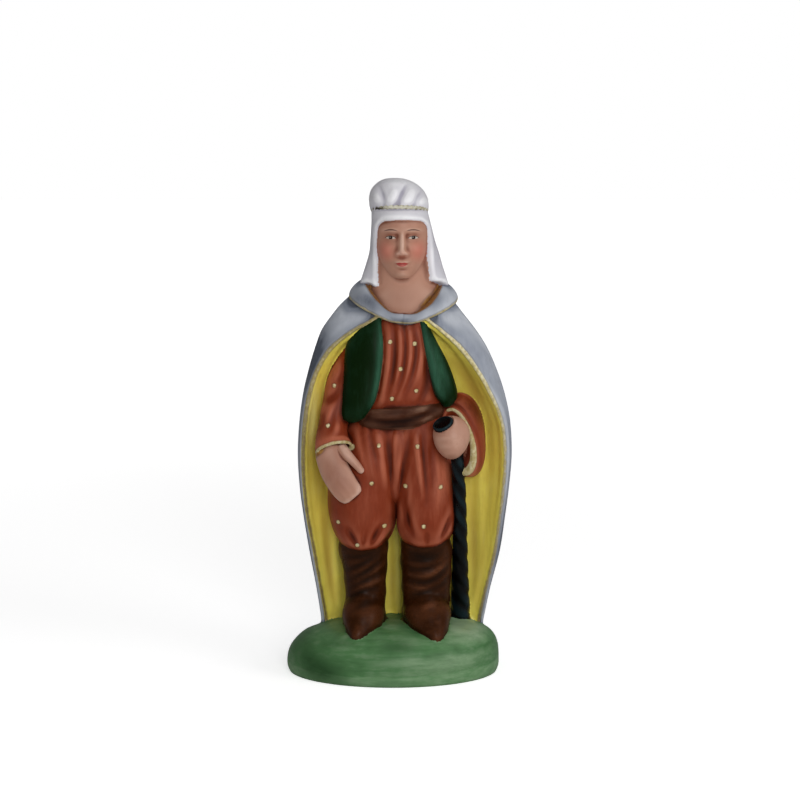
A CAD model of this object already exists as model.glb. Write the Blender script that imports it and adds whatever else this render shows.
# A painted clay santon: a cloaked figure with a staff, on an oval mound.
# Forms are worked out in millimetres, with heights from the soles, and end up in metres.
import math
import bmesh
import bpy
import numpy as np
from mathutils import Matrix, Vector
from mathutils.kdtree import KDTree


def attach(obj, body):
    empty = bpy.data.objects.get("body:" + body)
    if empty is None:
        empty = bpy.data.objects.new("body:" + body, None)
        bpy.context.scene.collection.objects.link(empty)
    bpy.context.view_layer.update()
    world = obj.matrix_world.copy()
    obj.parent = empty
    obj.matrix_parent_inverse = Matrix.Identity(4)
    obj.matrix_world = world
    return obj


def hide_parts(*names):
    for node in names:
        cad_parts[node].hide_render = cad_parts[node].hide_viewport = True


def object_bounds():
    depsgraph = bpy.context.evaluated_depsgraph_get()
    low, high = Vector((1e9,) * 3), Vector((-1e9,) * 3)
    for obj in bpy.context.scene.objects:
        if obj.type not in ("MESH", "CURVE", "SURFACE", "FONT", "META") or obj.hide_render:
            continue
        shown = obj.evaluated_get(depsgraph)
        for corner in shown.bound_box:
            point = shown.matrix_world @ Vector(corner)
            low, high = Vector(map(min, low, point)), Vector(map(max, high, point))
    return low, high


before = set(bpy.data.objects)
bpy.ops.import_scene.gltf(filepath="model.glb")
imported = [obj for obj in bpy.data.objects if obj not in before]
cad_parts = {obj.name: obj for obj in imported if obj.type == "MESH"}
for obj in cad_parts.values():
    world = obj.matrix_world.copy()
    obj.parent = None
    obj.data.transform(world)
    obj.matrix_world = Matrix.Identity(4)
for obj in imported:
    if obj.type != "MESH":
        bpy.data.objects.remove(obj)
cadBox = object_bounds()
print("frame loaded")

mm = 0.001
soleHeight = 12.0  # of the figure's soles above the ground
fullTurn = 2 * math.pi
upward = (0, 0, 1)
forward = (0, -1, 0)

paintNames = ["moundPaint", "capePaint", "liningPaint", "clothPaint", "waistcoatPaint", "sashPaint",
              "skinPaint", "linenPaint", "cordPaint", "bootPaint", "staffPaint"]
paintSlot = {name: i for i, name in enumerate(paintNames)}


# Reading tables of stations

def smoothRows(table, places):
    # rows read smoothly at places that run from 0, the first row, to the last
    rows = np.array(table, float)
    last = len(rows) - 1
    at = np.clip(np.asarray(places, float), 0, last)
    i = np.minimum(at.astype(int), last - 1)
    t = (at - i)[:, None]
    before, start = rows[np.maximum(i - 1, 0)], rows[i]
    end, after = rows[i + 1], rows[np.minimum(i + 2, last)]
    rise, fall = (end - before) / 2, (after - start) / 2
    return (start + rise * t + (3 * (end - start) - 2 * rise - fall) * t ** 2
            + (2 * (start - end) + rise + fall) * t ** 3)


def distancesAlong(points):
    steps = np.linalg.norm(np.diff(points, axis=0), axis=1)
    return np.concatenate([[0], np.cumsum(steps)])


def evenRows(table, step, spaced=None, fineness=60):
    # rows about one step apart, measured over the columns that spaced names
    last = len(table) - 1
    dense = smoothRows(table, np.linspace(0, last, fineness * last + 1))
    run = distancesAlong(dense if spaced is None else dense[:, spaced])
    count = max(3, int(run[-1] / step) + 1)
    picks = np.interp(np.linspace(0, run[-1], count), run, np.linspace(0, last, len(run)))
    return smoothRows(table, picks)


def evenLine(points, count, fineness=12):
    # a smooth open line through the points, as count points spaced evenly along it
    last = len(points) - 1
    dense = smoothRows(points, np.linspace(0, last, fineness * last + 1))
    run = distancesAlong(dense)
    at = np.linspace(0, run[-1], count)
    return np.stack([np.interp(at, run, column) for column in dense.T], axis=1)


def roundTurn(count):
    # evenly spaced angles round a ring, in radians
    return np.linspace(0, fullTurn, count, endpoint=False)


def spread(rows, angle):
    # each column of the rows, repeated for every angle of its ring
    return [column[:, None] + 0 * angle for column in rows.T]


def unit(vectors):
    return vectors / np.maximum(np.linalg.norm(vectors, axis=-1, keepdims=True), 1e-6)


def blend(a, b, share):
    return a + (b - a) * share


def smoothStep(value, low, high):
    t = np.clip((value - low) / (high - low), 0, 1)
    return t * t * (3 - 2 * t)


def bump(distance, width):
    return np.exp(-(distance / width) ** 2)


# Folds are drawn as strokes on the front view. Each runs from one (x, z) past a second to a third,
# and has a width and a height: a ridge where the height is positive, a groove where it is negative.
# A stroke is at its full height half way along, and at a quarter of it at its ends.

def strokeRelief(x, z, strokes):
    total = np.zeros_like(x)
    for x0, z0, xm, zm, x1, z1, width, height in strokes:
        dx, dz = x1 - x0, z1 - z0
        length = math.hypot(dx, dz)
        along = ((x - x0) * dx + (z - z0) * dz) / length ** 2
        across = ((z - z0) * dx - (x - x0) * dz) / length
        bow = ((zm - z0) * dx - (xm - x0) * dz) / length
        inside = np.clip(along, 0, 1)
        beyond = np.abs(along - inside) * length
        fade = blend(0.25, 1, np.sin(np.pi * inside)) * bump(beyond, width)
        total += height * bump(across - 4 * bow * inside * (1 - inside), width) * fade
    return total


# Skins over rings of points. A form is its points in mm, its faces, and the paint of each face.

def skin(rings, paint, loop=False):
    count, sides = rings.shape[:2]
    points = rings.reshape(-1, 3)
    sidePaints = np.broadcast_to(np.asarray(paint), (sides,))
    i = np.arange(count if loop else count - 1)
    k = np.arange(sides)
    here, above = i[:, None] * sides, (i[:, None] + 1) % count * sides
    nextK = (k + 1) % sides
    quads = np.stack([here + k, here + nextK, above + nextK, above + k], axis=2).reshape(-1, 4)
    a, b, c, d = (points[quads[:, n]] for n in range(4))
    turned = np.einsum("ij,ij->", a, np.cross(b, c)) + np.einsum("ij,ij->", a, np.cross(c, d))
    faces = quads.tolist()
    paints = np.tile(sidePaints, len(i)).tolist()
    if not loop:
        for ring, order in ((0, -1), (count - 1, 1)):
            points = np.vstack([points, rings[ring].mean(axis=0)])
            edge = ring * sides + k
            tips = np.stack([np.full(sides, len(points) - 1), edge, ring * sides + nextK], axis=1)
            turned += order * np.einsum("ij,ij->", points[tips[:, 0]],
                                        np.cross(points[tips[:, 1]], points[tips[:, 2]]))
            faces += tips[:, ::order].tolist()
            paints += sidePaints.tolist()
    if turned < 0:
        faces = [face[::-1] for face in faces]
    return points, faces, paints


def sidesFor(rows, step):
    # points round a ring, about one step apart where the form is broadest
    return max(12, int(fullTurn * rows[:, 3:5].max(axis=0).mean() / step))


def crowded(sides, crowd):
    # angles round a level ring, from 0 in front towards +X; they stand closer together in front,
    # where crowd is more than 0
    even = roundTurn(sides)
    return (even - crowd * np.sin(even))[None, :]


def column(table, step, paint, relief=None, crowd=0.0):
    # level rings; rows of height, middle x, middle y, half width and half depth
    rows = evenRows(table, step)
    angle = crowded(sidesFor(rows, step), crowd)
    z, middleX, middleY, wide, deep = spread(rows, angle)
    x, y = middleX + wide * np.sin(angle), middleY - deep * np.cos(angle)
    if relief is not None:
        out = relief(x, z, angle)
        x, y = x + out * np.sin(angle), y - out * np.cos(angle)
    return skin(np.stack([x, y, z], axis=2), paint)


def limbRings(table, step, facing, relief):
    # rings across a bent line; rows of x, y, z, half width, half thickness and, for some, degrees of roll
    rows = evenRows(table, step)
    along = unit(np.gradient(rows[:, :3], axis=0))
    tip = np.argmax(np.linalg.norm(rows[:, :3] - rows[0, :3], axis=1))
    along[tip - 1:] = along[tip - 2]  # a mouth that turns back keeps the way the limb was going
    side = unit(np.cross(along, np.array(facing, float)))
    front = np.cross(side, along)
    angle = roundTurn(sidesFor(rows, step))[None, :]
    place = np.linspace(0, 1, len(rows))[:, None] + 0 * angle
    wide, thick = rows[:, 3:4] * np.cos(angle), rows[:, 4:5] * np.sin(angle)
    roll = np.radians(rows[:, 5:6]) if rows.shape[1] > 5 else 0 * wide
    a = wide * np.cos(roll) - thick * np.sin(roll)
    b = wide * np.sin(roll) + thick * np.cos(roll)
    rings = rows[:, None, :3] + a[..., None] * side[:, None] + b[..., None] * front[:, None]
    if relief is not None:
        outward = unit(rings - rows[:, None, :3])
        rings = rings + outward * relief(rings[..., 0], rings[..., 2], angle, place)[..., None]
    return rings


def limb(table, step, paint, facing=forward, relief=None):
    return skin(limbRings(table, step, facing, relief), paintSlot[paint])


# Runs of points in mm along the gold edges, each point with half the gold's width and how dull it is:
# 0 bright, 1 worn, 2 brown.
giltLines = []


# The oval mound

moundLook = {"width": 52.0, "depth": 36.0, "height": 12.8, "lipHeight": 2.0, "lipInset": 0.6, "shift": -1.6,
             "sides": 140, "shoulderRings": 36, "lipRings": 3, "unevenness": 0.22, "evenTop": 0.6,
             "roundness": (2.5, 3.7)}  # of the shoulder at left and at right, where 2 is an ellipse


def moundForm(look=moundLook):
    angle = roundTurn(look["sides"])
    roundness = blend(*look["roundness"], (1 + np.sin(angle)) / 2)
    rings = []

    def put(share, inset, z):
        x = look["shift"] + (look["width"] / 2 - inset) * share * np.sin(angle)
        y = -(look["depth"] / 2 - inset) * share * np.cos(angle)
        wave = np.sin(0.31 * x + 0.8) * np.cos(0.37 * y + 0.4) + 0.5 * np.sin(0.83 * x + 0.52 * y)
        high = smoothStep(z, look["lipHeight"], look["height"])
        dent = look["unevenness"] * wave * high
        dent = dent * (1 - smoothStep(z, look["height"] - look["evenTop"], look["height"]))
        rings.append(np.stack([x, y, z + dent - soleHeight], axis=1))

    for z in np.linspace(0, look["lipHeight"], look["lipRings"], endpoint=False):
        put(1 + 0 * angle, look["lipInset"] * (1 - z / look["lipHeight"]) ** 2, z + 0 * angle)
    for turn in np.linspace(0, math.pi / 2 - 0.012, look["shoulderRings"]):  # just short of the top's middle
        share = np.cos(turn) ** (2 / roundness)
        rise = np.sin(turn) ** (2 / roundness)
        put(share, 0, blend(look["lipHeight"], look["height"], rise))
    return skin(np.stack(rings), paintSlot["moundPaint"])


# The cape, solid behind and hollowed in front to its yellow lining. Rows: height, outer x at left and
# right, x of the opening's edge at left and right, then y of the edge, of the lining and of the back.

capeLook = {"step": 0.8, "outsideRun": 95, "insideRun": 68, "lip": 1.3, "dip": 0.42, "backFolds": 0.6,
            "fineFolds": 0.16, "liningFolds": 0.3, "giltTop": 76.5}
# The gold on the opening's edges. Rows: height, half width and dullness at left, then the same at right.
capeGilt = [
    [0, 0.34, 1, 0.34, 0.85], [34, 0.42, 0.95, 0.4, 0.6], [50, 0.56, 0.75, 0.44, 0.25],
    [60, 0.66, 0.6, 0.56, 0], [68, 0.7, 0.55, 0.7, 0], [76, 0.6, 0.5, 0.5, 0],
]
capeRows = [
    [-4, -19, 20, -18.1, 19.5, 3, 4.2, 12.6], [1, -19.4, 20.9, -18.6, 20.1, 2.4, 3.8, 13.2],
    [8, -20.3, 22.2, -19.7, 21.5, 1.2, 3.4, 13.8], [17, -21.8, 24.3, -21.1, 23.5, -0.4, 2.9, 14],
    [26, -23.1, 25.5, -22.6, 24.7, -2, 2.4, 14], [34, -24, 26.4, -23.4, 25.5, -3.2, 1.8, 14],
    [42, -24.3, 26.9, -23.6, 25.8, -4.4, 1, 13.8], [50, -23.8, 26.4, -23.1, 24.9, -5.4, 0.2, 13.4],
    [57, -22.8, 25, -21.9, 22.1, -6.3, -1, 12.8], [63, -21.4, 23, -19.9, 18.7, -7, -2.4, 12],
    [68, -20, 20.8, -16.7, 14.9, -7.5, -4, 11.2], [72, -18.6, 18.3, -11.8, 10.6, -7.8, -5.4, 10.2],
    [75.5, -16.2, 15.6, -5.8, 6.4, -7.4, -6, 9.2], [78.5, -13.6, 13.2, -4.2, 4.6, -4.8, -4.2, 8.2],
    [81, -10.6, 11, -3.8, 5.2, -3.6, -3, 7.4], [83.5, -7.2, 8.4, -3, 4.6, -2.4, -1.8, 6.2],
]


def capeSection(outLeft, outRight, edgeLeft, edgeRight, edge, lining, back, lip, dip):
    # a level slice: outside from the left edge round the back, then inside from the right edge
    middle = (outLeft + outRight) / 2

    def half(edgeX, outX, lip):
        outer = [[edgeX, edge], [blend(edgeX, outX, 0.7), edge * 0.7], [outX, blend(edge, back, 0.35)],
                 [blend(outX, middle, 0.22), blend(edge, back, 0.78)],
                 [blend(outX, middle, 0.6), blend(edge, back, 0.97)]]
        inner = [[edgeX + lip * 0.4, edge - 0.3], [edgeX + lip, edge + 0.5],
                 [edgeX + lip * 1.8, blend(edge, lining, dip)], [blend(edgeX, middle, 0.3), lining]]
        return outer, inner

    leftOuter, leftInner = half(edgeLeft, outLeft, lip)
    rightOuter, rightInner = half(edgeRight, outRight, -lip)
    return (leftOuter + [[middle, back]] + rightOuter[::-1],
            rightInner + [[middle, lining + 0.7]] + leftInner[::-1])


def capeForm(look=capeLook):
    rings, leftEdge, rightEdge = [], [], []
    outside, inside = int(look["outsideRun"] / look["step"]), int(look["insideRun"] / look["step"])
    giltHeights, *gilt = np.array(capeGilt).T
    for z, *row in evenRows(capeRows, look["step"], [0]):
        outLeft, outRight, edgeLeft, edgeRight, edge, lining = row[:6]
        lip = min(look["lip"], (edgeRight - edgeLeft) / 8)
        outer, inner = capeSection(*row, lip, look["dip"])
        out = evenLine(outer, outside)
        turned = np.arctan2(out[:, 0] - (outLeft + outRight) / 2, out[:, 1])
        drift = turned + 0.0022 * (z - 40)  # the folds lean a little as they rise
        fold = look["backFolds"] * (np.cos(7 * drift) + 0.42 * np.cos(3 * turned + 1))
        fold += look["fineFolds"] * np.cos(14 * drift + 0.7) * smoothStep(70 - z, 0, 40) - 0.1
        fold *= smoothStep(78 - z, 0, 60) * smoothStep(out[:, 1], 2.5, 8)
        out += fold[:, None] * np.stack([np.sin(turned), np.cos(turned)], axis=1)
        into = evenLine([outer[-1], *inner, outer[0]], inside)[1:-1]
        deep = smoothStep(into[:, 1], edge + 1, lining) * smoothStep(66 - z, 0, 30)
        sway = into[:, 0] + 0.02 * z
        into[:, 1] -= look["liningFolds"] * deep * (np.cos(1.25 * sway) + 0.6 * np.cos(2.1 * sway + 1))
        slice2d = np.vstack([out, into])
        rings.append(np.column_stack([slice2d, np.full(len(slice2d), z)]))
        if z <= look["giltTop"]:
            wide, dull, rightWide, rightDull = (np.interp(z, giltHeights, values) for values in gilt)
            leftEdge.append([edgeLeft + lip * 0.35, edge - 0.3, z, wide, dull])
            rightEdge.append([edgeRight - lip * 0.25, edge - 0.3, z, rightWide, rightDull])
    giltLines.extend([leftEdge, rightEdge])
    paints = [paintSlot["capePaint"]] * outside + [paintSlot["liningPaint"]] * (inside - 2)
    return skin(np.stack(rings), paints)


# The collar, a soft folded band. Rows, from the front round the left side to the back: middle x, y and
# height of the band, its half width, half thickness, and how steeply it faces outwards, in degrees.
# Each gold line has its place across the band and out from it, its half width and dullness, and how much
# thinner it is in front and broader at right.

collarLook = {"turns": 120, "sides": 24, "middle": (0.7, 0.5), "reach": 0.5, "drop": 0.65,
              "gilt": [(0.93, 0.45, 0.3, 0.45, 0, 0), (-0.96, 0.3, 0.6, 2.0, 0.75, 0.9)],
              "thinReach": 0.07, "broadPlace": 0.86, "broadReach": 0.06}  # shares of the way round
collarRows = [
    [1, -7.8, 75.1, 1.2, 1.2, 72], [-1.9, -7.7, 75.5, 1.25, 1.2, 71], [-5.2, -6.9, 77.5, 1.9, 1.25, 64],
    [-8.4, -4.7, 80, 2.7, 1.3, 52], [-9.7, -0.4, 81.6, 3, 1.3, 40], [-8, 4.2, 82.6, 2.8, 1.3, 36],
    [-4.2, 7.2, 82.8, 2.6, 1.3, 36], [0.7, 8.2, 82.8, 2.6, 1.3, 36],
]


def collarForm(look=collarLook):
    share = np.arange(look["turns"]) / look["turns"]
    right = share > 0.5
    rows = smoothRows(collarRows, np.where(right, 1 - share, share) * 2 * (len(collarRows) - 1))
    lean = np.where(right, -np.sin(fullTurn * share), 0)
    middleX, middleY = look["middle"]
    x = np.where(right, 2 * middleX - rows[:, 0] + look["reach"] * lean, rows[:, 0])
    middle = np.stack([x, rows[:, 1], rows[:, 2] - look["drop"] * lean], axis=1)
    outward = unit(np.stack([x - middleX, rows[:, 1] - middleY, 0 * x], axis=1))
    slope = np.radians(rows[:, 5])[:, None]
    up = np.array(upward)
    down = outward * np.cos(slope) - up * np.sin(slope)
    proud = outward * np.sin(slope) + up * np.cos(slope)
    around = roundTurn(look["sides"])[None, :]
    wide, thick = rows[:, 3:4] * np.cos(around), rows[:, 4:5] * np.sin(around)
    rings = middle[:, None] + wide[..., None] * down[:, None] + thick[..., None] * proud[:, None]
    fromFront = np.minimum(share, 1 - share)
    for across, out, half, dull, thin, broad in look["gilt"]:
        line = middle + down * rows[:, 3:4] * across + proud * out
        halves = half * (1 - thin * bump(fromFront, look["thinReach"]))
        halves = halves * (1 + broad * bump(share - look["broadPlace"], look["broadReach"]))
        run = np.column_stack([line, halves, np.full(len(line), dull)])
        giltLines.append(np.vstack([run, run[:1]]))
    return skin(rings, paintSlot["capePaint"], loop=True)


# Tunic, puffed trousers, and the gusset of cloth between the legs.
# Rows: height, middle x, middle y, half width, half depth.

clothLook = {"step": 0.6, "sideFolds": 0.3, "topGathers": 0.35, "cuffGathers": 0.6, "tunicCrowd": 0.5,
             "legCrowd": 0.35}  # a crowd sets the points closer together in front, where the folds are
torsoRows = [
    [50, 0.6, -0.8, 10.6, 7.2], [52, 0.6, -0.8, 11, 7.8], [56, 0.7, -0.9, 11.4, 8.5],
    [62, 0.7, -0.8, 10.9, 8.2], [68, 0.6, -0.6, 9.8, 7.8], [74, 0.8, -0.6, 7.8, 7],
    [79, 0.8, -0.4, 6.4, 5.6],
]
leftLegRows = [
    [56, -3.4, -1, 6.4, 5.6], [50, -4.4, -1.3, 8, 7.7], [42, -6.2, -1.7, 9.4, 8.7],
    [34, -8.2, -2, 9.2, 9.1], [28, -8.9, -2.1, 8.5, 9.1], [24.4, -8.9, -2.1, 7.7, 8.6],
    [21.4, -8.9, -2.1, 6.4, 7.7], [19.8, -8.9, -2.1, 5, 6.6], [18.9, -9, -2.1, 3.2, 4.6],
    [18.6, -9, -2.1, 1.2, 2],
]
rightLegRows = [
    [56, 4.4, -1, 6.4, 5.6], [50, 4.4, -1.3, 7.8, 7.7], [42, 4.7, -1.7, 8.5, 8.7],
    [34, 5.6, -2, 8.1, 9.1], [28, 6.3, -2.1, 7.5, 9.1], [24.4, 6.3, -2.1, 7.1, 8.7],
    [22.2, 6.2, -2.1, 6.4, 7.9], [20.6, 6.1, -2.1, 5.2, 6.8], [19.7, 6.1, -2.1, 3.4, 4.8],
    [19.4, 6.1, -2.1, 1.3, 2],
]
tunicStrokes = [
    [-2.9, 73.3, -2.7, 64.5, -4.3, 56, 0.8, 0.4], [-0.2, 73.6, 0.3, 66.2, -2.4, 56.3, 0.8, 0.42],
    [2.2, 73.6, 2.5, 66.2, -0.7, 56, 0.8, 0.42], [4.4, 72, 4.7, 63.8, 2, 58, 0.8, 0.4],
    [-1.3, 73, -1.2, 65.2, -3.2, 56, 0.55, -0.5], [1, 73.3, 1.3, 65.5, -1.4, 56.3, 0.55, -0.5],
    [3.5, 73, 3.9, 65.2, 1, 57.3, 0.55, -0.5], [6.1, 65.5, 6.4, 59.4, 4.4, 54.9, 0.7, -0.45],
    [-4.6, 66, -4.6, 61, -5.6, 55.6, 0.6, -0.35],
]
gussetRows = [
    [54, 0, -1.2, 3, 5.2], [50.5, -0.2, -1.3, 3.6, 6.9], [47, -0.4, -1.5, 4, 7.9],
    [42, -0.6, -1.6, 4.1, 8.2], [36, -0.9, -1.7, 3.6, 7.8], [32, -1.1, -1.4, 2.6, 6.6],
    [29.5, -1.2, -0.8, 1.2, 4.6],
]
trouserStrokes = [
    [-10.3, 49.6, -9.2, 43.8, -6.5, 36.9, 0.7, 0.5], [-8.3, 49.3, -7.6, 43.8, -5.4, 34.8, 0.7, 0.4],
    [-9.3, 49.3, -8.3, 43.1, -6.1, 35.5, 0.55, -0.45], [-7.1, 49.6, -6.8, 45.8, -4.7, 41.7, 0.6, -0.5],
    [-5.2, 48.6, -4.4, 42.4, -3.4, 34.8, 0.9, 0.35], [-3, 48.2, -2.5, 42.4, -1.7, 35.5, 0.7, -0.5],
    [0, 48.9, -0.7, 40.7, -1.2, 24.5, 0.6, -0.3], [1.2, 48.8, 0.8, 44.8, -0.3, 39, 0.8, 0.3],
    [2.4, 47.6, 1.5, 41.4, -0.3, 34.1, 0.6, -0.45], [4.1, 47.9, 4.6, 41.4, 6, 32.4, 0.7, 0.55],
    [5.4, 47.2, 5.8, 40.7, 6.3, 31.4, 0.5, -0.7], [3.1, 36.9, 1.4, 30.3, 0, 25.8, 0.8, 0.3],
    [8.8, 41.7, 9.3, 34.8, 8.8, 28.6, 1, 0.35], [7.5, 45.8, 7.8, 40.7, 8.2, 34.1, 0.7, -0.3],
    [1.7, 34.1, 1.4, 28.6, 3.1, 23.4, 0.7, -0.5], [3.6, 33, 3.4, 28.6, 4.8, 23.4, 0.9, 0.25],
    [-12.4, 24.6, -11.3, 22.7, -10.2, 20.6, 0.55, -0.75], [-4.3, 25.5, -5.3, 23.8, -6.5, 21, 0.6, -0.7],
    [12.4, 27.4, 11.4, 24.8, 10.2, 22.3, 0.6, -0.65], [-2, 23.1, -3.4, 21.3, -4.8, 20.3, 0.5, -0.4],
    [-8.2, 24.5, -8.6, 22.2, -8.8, 20.2, 0.5, -0.25], [6.4, 24, 6.6, 22.6, 6.6, 20.9, 0.5, -0.25],
]


def inFront(angle):
    return smoothStep(np.cos(angle), -0.05, 0.3)


def tunicRelief(x, z, angle):
    sides = clothLook["sideFolds"] * np.cos(9 * angle + 0.06 * (z - 60)) * (1 - inFront(angle))
    return strokeRelief(x, z, tunicStrokes) * inFront(angle) + sides


def trouserRelief(phase, look=clothLook):
    def relief(x, z, angle):
        gathered = look["topGathers"] * smoothStep(z, 26, 46) + look["cuffGathers"] * smoothStep(30 - z, 0, 9)
        pleats = gathered * np.cos(7 * angle + phase) * (1 - 0.85 * inFront(angle))
        return pleats + strokeRelief(x, z, trouserStrokes) * inFront(angle) - 0.1
    return relief


def clothForms(look=clothLook):
    cloth = paintSlot["clothPaint"]
    return [column(torsoRows, look["step"], cloth, tunicRelief, look["tunicCrowd"]),
            column(leftLegRows, look["step"], cloth, trouserRelief(0.4), look["legCrowd"]),
            column(rightLegRows, look["step"], cloth, trouserRelief(2.2), look["legCrowd"]),
            column(gussetRows, look["step"], cloth, trouserRelief(1.2))]


# The sash, wound round the waist and folded lengthwise, with a low point in front.

sashLook = {"turns": 150, "sides": 30, "middle": (0.7, -0.9, 52.9), "halfWidth": 10.6, "halfDepth": 7.9,
            "thickness": 1.15, "halfHeight": (1.4, 2.6), "sideRise": 0.9, "frontDrop": 1.3,
            "tip": (2.0, 2.2, 0.3), "fullness": 1.6, "fullPlace": (0.75, 0.5)}
# halfHeight is at the back and in front; tip is the low point's x, its reach and its depth; fullPlace is
# how far round the left side the sash is fullest, with its reach.
sashStrokes = [
    [-7.6, 52.3, -1, 52.9, 9.1, 54.3, 0.35, -0.4], [-7.4, 51.7, -0.3, 51, 8.4, 53, 0.4, -0.5],
    [-5.6, 50.9, 1.5, 49.9, 6.6, 51, 0.35, -0.35], [-1, 52, 4, 52.3, 8.8, 54, 0.3, -0.25],
    [0.4, 53.6, 3.9, 53.6, 7.6, 54.5, 0.4, 0.25], [0.8, 50.6, 4, 50.7, 7.8, 52.3, 0.4, 0.25],
    [-6.4, 53.1, -3, 53.4, 1, 53.9, 0.3, -0.2],
]


def sashForm(look=sashLook):
    angle = roundTurn(look["turns"])[:, None]
    around = roundTurn(look["sides"])[None, :]
    front = np.maximum(0, np.cos(angle))
    middleX, middleY, middleZ = look["middle"]
    tipX, tipReach, tipDepth = look["tip"]
    halfHeight = blend(*look["halfHeight"], front ** 1.5)
    z = middleZ + look["sideRise"] * np.sin(angle) - look["frontDrop"] * np.cos(angle)
    z = z + halfHeight * np.sin(around)
    x = middleX + look["halfWidth"] * np.sin(angle) + 0 * around
    low = front * bump(x - tipX, tipReach) * np.maximum(0, -np.sin(around))
    z = z - tipDepth * low
    folds = 0.2 * np.cos(4 * around) * (1 - front) + strokeRelief(x, z, sashStrokes) * front ** 0.3
    flat = np.sign(np.cos(around)) * np.abs(np.cos(around)) ** 0.55
    out = look["thickness"] * flat + folds * np.maximum(0, np.cos(around)) ** 0.4
    fullest, fullReach = look["fullPlace"]
    out = out + look["fullness"] * bump(angle - fullTurn + fullest, fullReach)
    x = x + out * np.sin(angle)
    y = middleY - (look["halfDepth"] + out) * np.cos(angle)
    return skin(np.stack([x, y, z], axis=2), paintSlot["sashPaint"], loop=True)


# The two fronts of the open waistcoat, thick panels that follow the chest.
# Rows: height, middle x, middle y, half width, half thickness, and degrees turned round the chest.

waistcoatLook = {"step": 0.5, "girth": 22, "squareness": 0.8}
leftFrontRows = [
    [77, -4.8, -5.4, 0.9, 0.8, 20], [74, -6.6, -6.3, 2.4, 1.6, 20], [69, -8.2, -7, 4.5, 2.1, 18],
    [62.5, -8.7, -7.5, 4.5, 2.3, 14], [56, -9.6, -8, 4.05, 2.4, 14], [53.2, -10.5, -8.2, 3.3, 2.2, 14],
    [51.4, -11.1, -8.1, 2.5, 1.6, 14], [50.4, -11.3, -8, 1, 0.7, 14],
]
rightFrontRows = [
    [77, 4.9, -5.4, 0.6, 0.7, -40], [73.7, 5.9, -6.4, 0.9, 0.9, -45], [69, 7.5, -6.8, 1.9, 1.4, -48],
    [64.5, 9.1, -6.8, 2.9, 1.8, -48], [60, 10.4, -6.7, 3.35, 2, -47], [57.2, 11.1, -6.7, 3.3, 1.9, -46],
    [55.4, 11.4, -6.8, 2.1, 1.5, -44], [54, 11.3, -6.8, 0.8, 0.7, -44],
]
frontStrokes = [
    [-9.6, 72, -10.4, 63, -10, 54.5, 1.6, -0.15], [-6, 73, -5.6, 64, -6.6, 55, 0.8, 0.2],
    [7, 70, 8.9, 62, 10.6, 56.4, 0.8, 0.2], [8.4, 68, 10.6, 62, 11.8, 57, 0.7, -0.3],
]


def frontForm(table, look=waistcoatLook):
    rows = evenRows(table, look["step"], [0, 1, 3])
    angle = roundTurn(int(look["girth"] / look["step"]))[None, :]
    z, x, y, wide, thick, degrees = spread(rows, angle)
    turn = np.radians(degrees)

    def turned(a, b):
        return x + a * np.cos(turn) + b * np.sin(turn), y - a * np.sin(turn) + b * np.cos(turn), z

    a = wide * np.sign(np.cos(angle)) * np.abs(np.cos(angle)) ** look["squareness"]
    b = thick * np.sin(angle)
    b = b - strokeRelief(turned(a, b)[0], z, frontStrokes) * np.maximum(0, -np.sin(angle))
    rings = np.stack(turned(a, b), axis=2)
    return skin(rings, paintSlot["waistcoatPaint"])


# Sleeves. The last rows turn back into the mouth. Rows: x, y, z, half width, half thickness and, at right,
# degrees of roll. The gold round each mouth has a half width and how much broader it is below. At right it
# is hidden where the hand and the staff stand before it, left of an x and under a height, within a reach.

sleeveLook = {"step": 0.6, "gilt": {"left": (0.72, 0), "right": (0.8, 0.4)}, "dullness": 0.3,
              "hidden": {"left": [], "right": [(11.6, 53.2, 0.8), (14.8, 45, 1.0)]}, "hiding": 2.5}
leftSleeveRows = [
    [-8.6, -1.2, 72, 3.2, 4], [-10.6, -1.8, 66, 3.8, 4.6], [-13.5, -2.7, 60, 3.8, 4.8],
    [-14.9, -4, 54, 3.6, 4.6], [-15.9, -5.4, 49.4, 3.5, 4.5], [-16.1, -7, 46.2, 4, 4.4],
    [-15.7, -8.2, 44.2, 4.5, 4.2], [-15.5, -8.6, 43.6, 4.2, 3.8], [-15.9, -7.8, 44.6, 3.4, 3],
]
rightSleeveRows = [
    [14.6, 4, 49, 3.8, 7.6, -4], [15.2, 1, 47.5, 5.2, 10, -6], [15.3, -2, 46.6, 5.3, 10.6, -9],
    [15.2, -4.6, 46.2, 5.1, 10.1, -12], [14.5, -6.6, 45.9, 4.7, 9.2, -15],
    [13.8, -8.1, 45.9, 3.7, 7.8, -17], [13.9, -7.5, 45.9, 2.5, 6.6, -17],
]
sleeveStrokes = [
    [-15.7, 54.8, -16.9, 51.7, -17.2, 49.3, 0.6, 0.45], [-17.1, 55.8, -18.1, 53.4, -18.8, 51.3, 0.7, 0.3],
    [-14.7, 51, -15.2, 48.2, -16.6, 46.5, 0.7, 0.3], [-14.9, 55, -16.2, 51, -16.2, 48, 0.5, -0.35],
    [-13.6, 60, -15.6, 56.6, -18.2, 54.6, 0.7, -0.35], [-14, 48.5, -16.4, 46.6, -18.4, 47.2, 0.6, -0.3],
    [-12.6, 64, -14.6, 60.4, -17, 58.6, 0.8, -0.25],
]


def leftSleeveRelief(x, z, angle, place):
    outside = smoothStep(np.sin(angle), -0.1, 0.3) * smoothStep(1 - place, 0.1, 0.2)
    return strokeRelief(x, z, sleeveStrokes) * outside


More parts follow.
